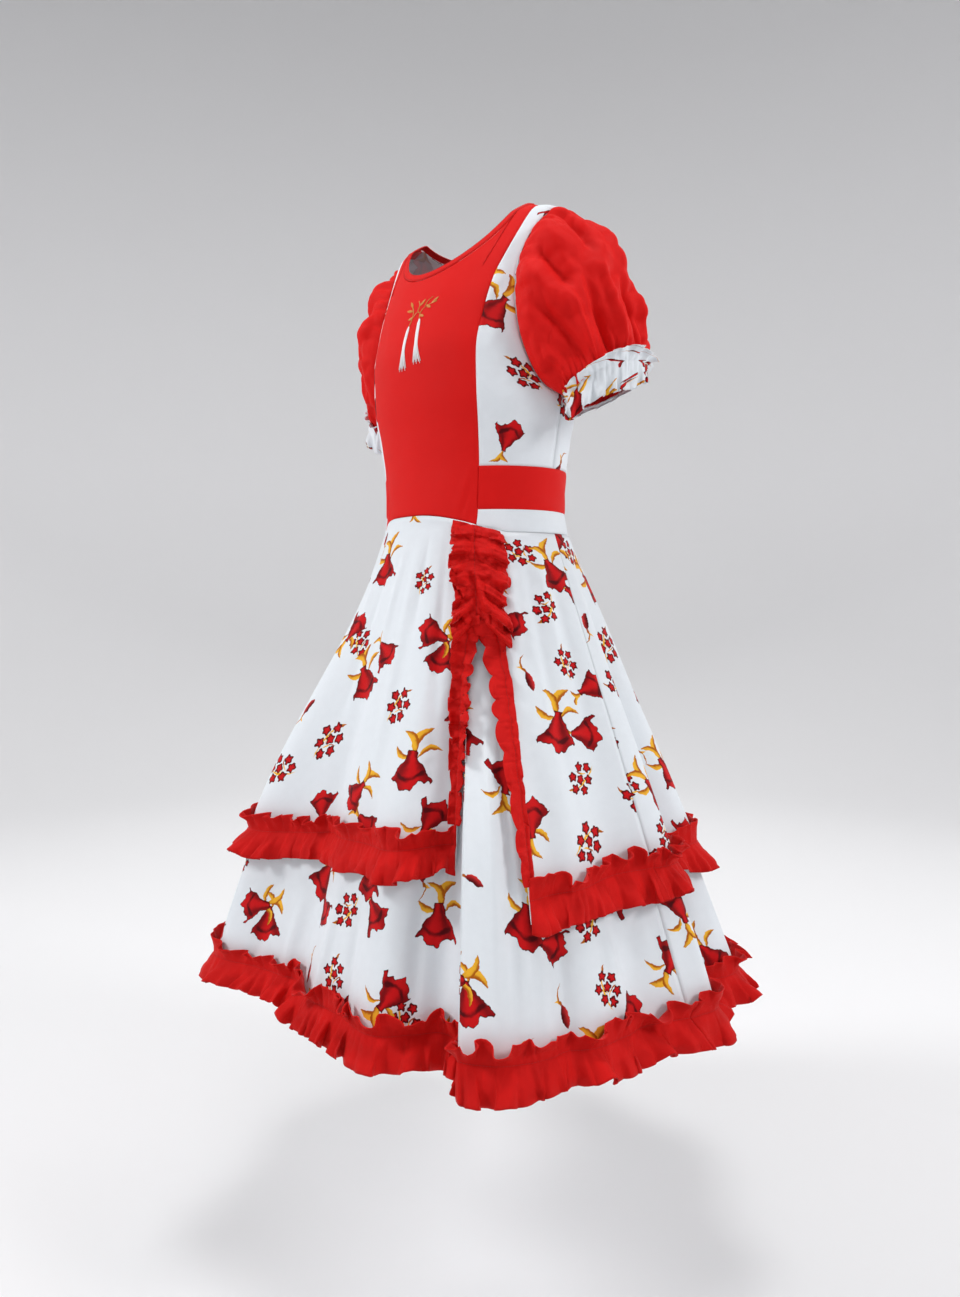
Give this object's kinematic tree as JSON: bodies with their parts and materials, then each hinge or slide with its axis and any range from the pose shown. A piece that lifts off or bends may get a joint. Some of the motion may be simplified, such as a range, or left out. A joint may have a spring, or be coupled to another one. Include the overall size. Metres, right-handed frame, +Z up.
{
  "type": "huasa dress",
  "caption": "Flared folk dress, hollow as when worn: fitted bodice, puff sleeves, and a split overskirt over an underskirt, both edged with gathered frills.",
  "frame": {"origin": "on the top of the shoulders, in the middle between left and right", "axes": "+Z up, -Y to the front of the wearer, +X to the wearer's left"},
  "size_m": [0.7101, 0.6295, 0.9987],
  "materials": {
    "red_cloth": "plain-woven polyester and cotton, matt with a soft sheen",
    "red_frill": "the same red cloth, cut in strips and gathered",
    "printed_cloth": "white plain weave with red flowers and golden leaves",
    "white_cloth": "white plain weave"
  },
  "bodies": {
    "root": {"bodice_front_centre": "red_cloth", "sleeve_left": "red_cloth", "sleeve_right": "red_cloth", "neck_binding": "red_cloth", "belt": "red_cloth", "side_front_left": "printed_cloth", "side_front_right": "printed_cloth", "back_left": "printed_cloth", "back_right": "printed_cloth", "cuff_frill_left": "printed_cloth", "cuff_frill_right": "printed_cloth", "yoke": "white_cloth", "underskirt_front": "printed_cloth", "overskirt_front": "printed_cloth", "hem_frill_front": "red_frill", "overskirt_frill_front": "red_frill", "underskirt_left": "printed_cloth", "overskirt_left": "printed_cloth", "hem_frill_left": "red_frill", "overskirt_frill_left": "red_frill", "underskirt_back_left": "printed_cloth", "overskirt_back_left": "printed_cloth", "hem_frill_back_left": "red_frill", "overskirt_frill_back_left": "red_frill", "underskirt_back_right": "printed_cloth", "overskirt_back_right": "printed_cloth", "hem_frill_back_right": "red_frill", "overskirt_frill_back_right": "red_frill", "split_frill_front": "red_frill", "split_frill_side": "red_frill", "split_frill_top": "red_frill"}
  },
  "joints": []
}
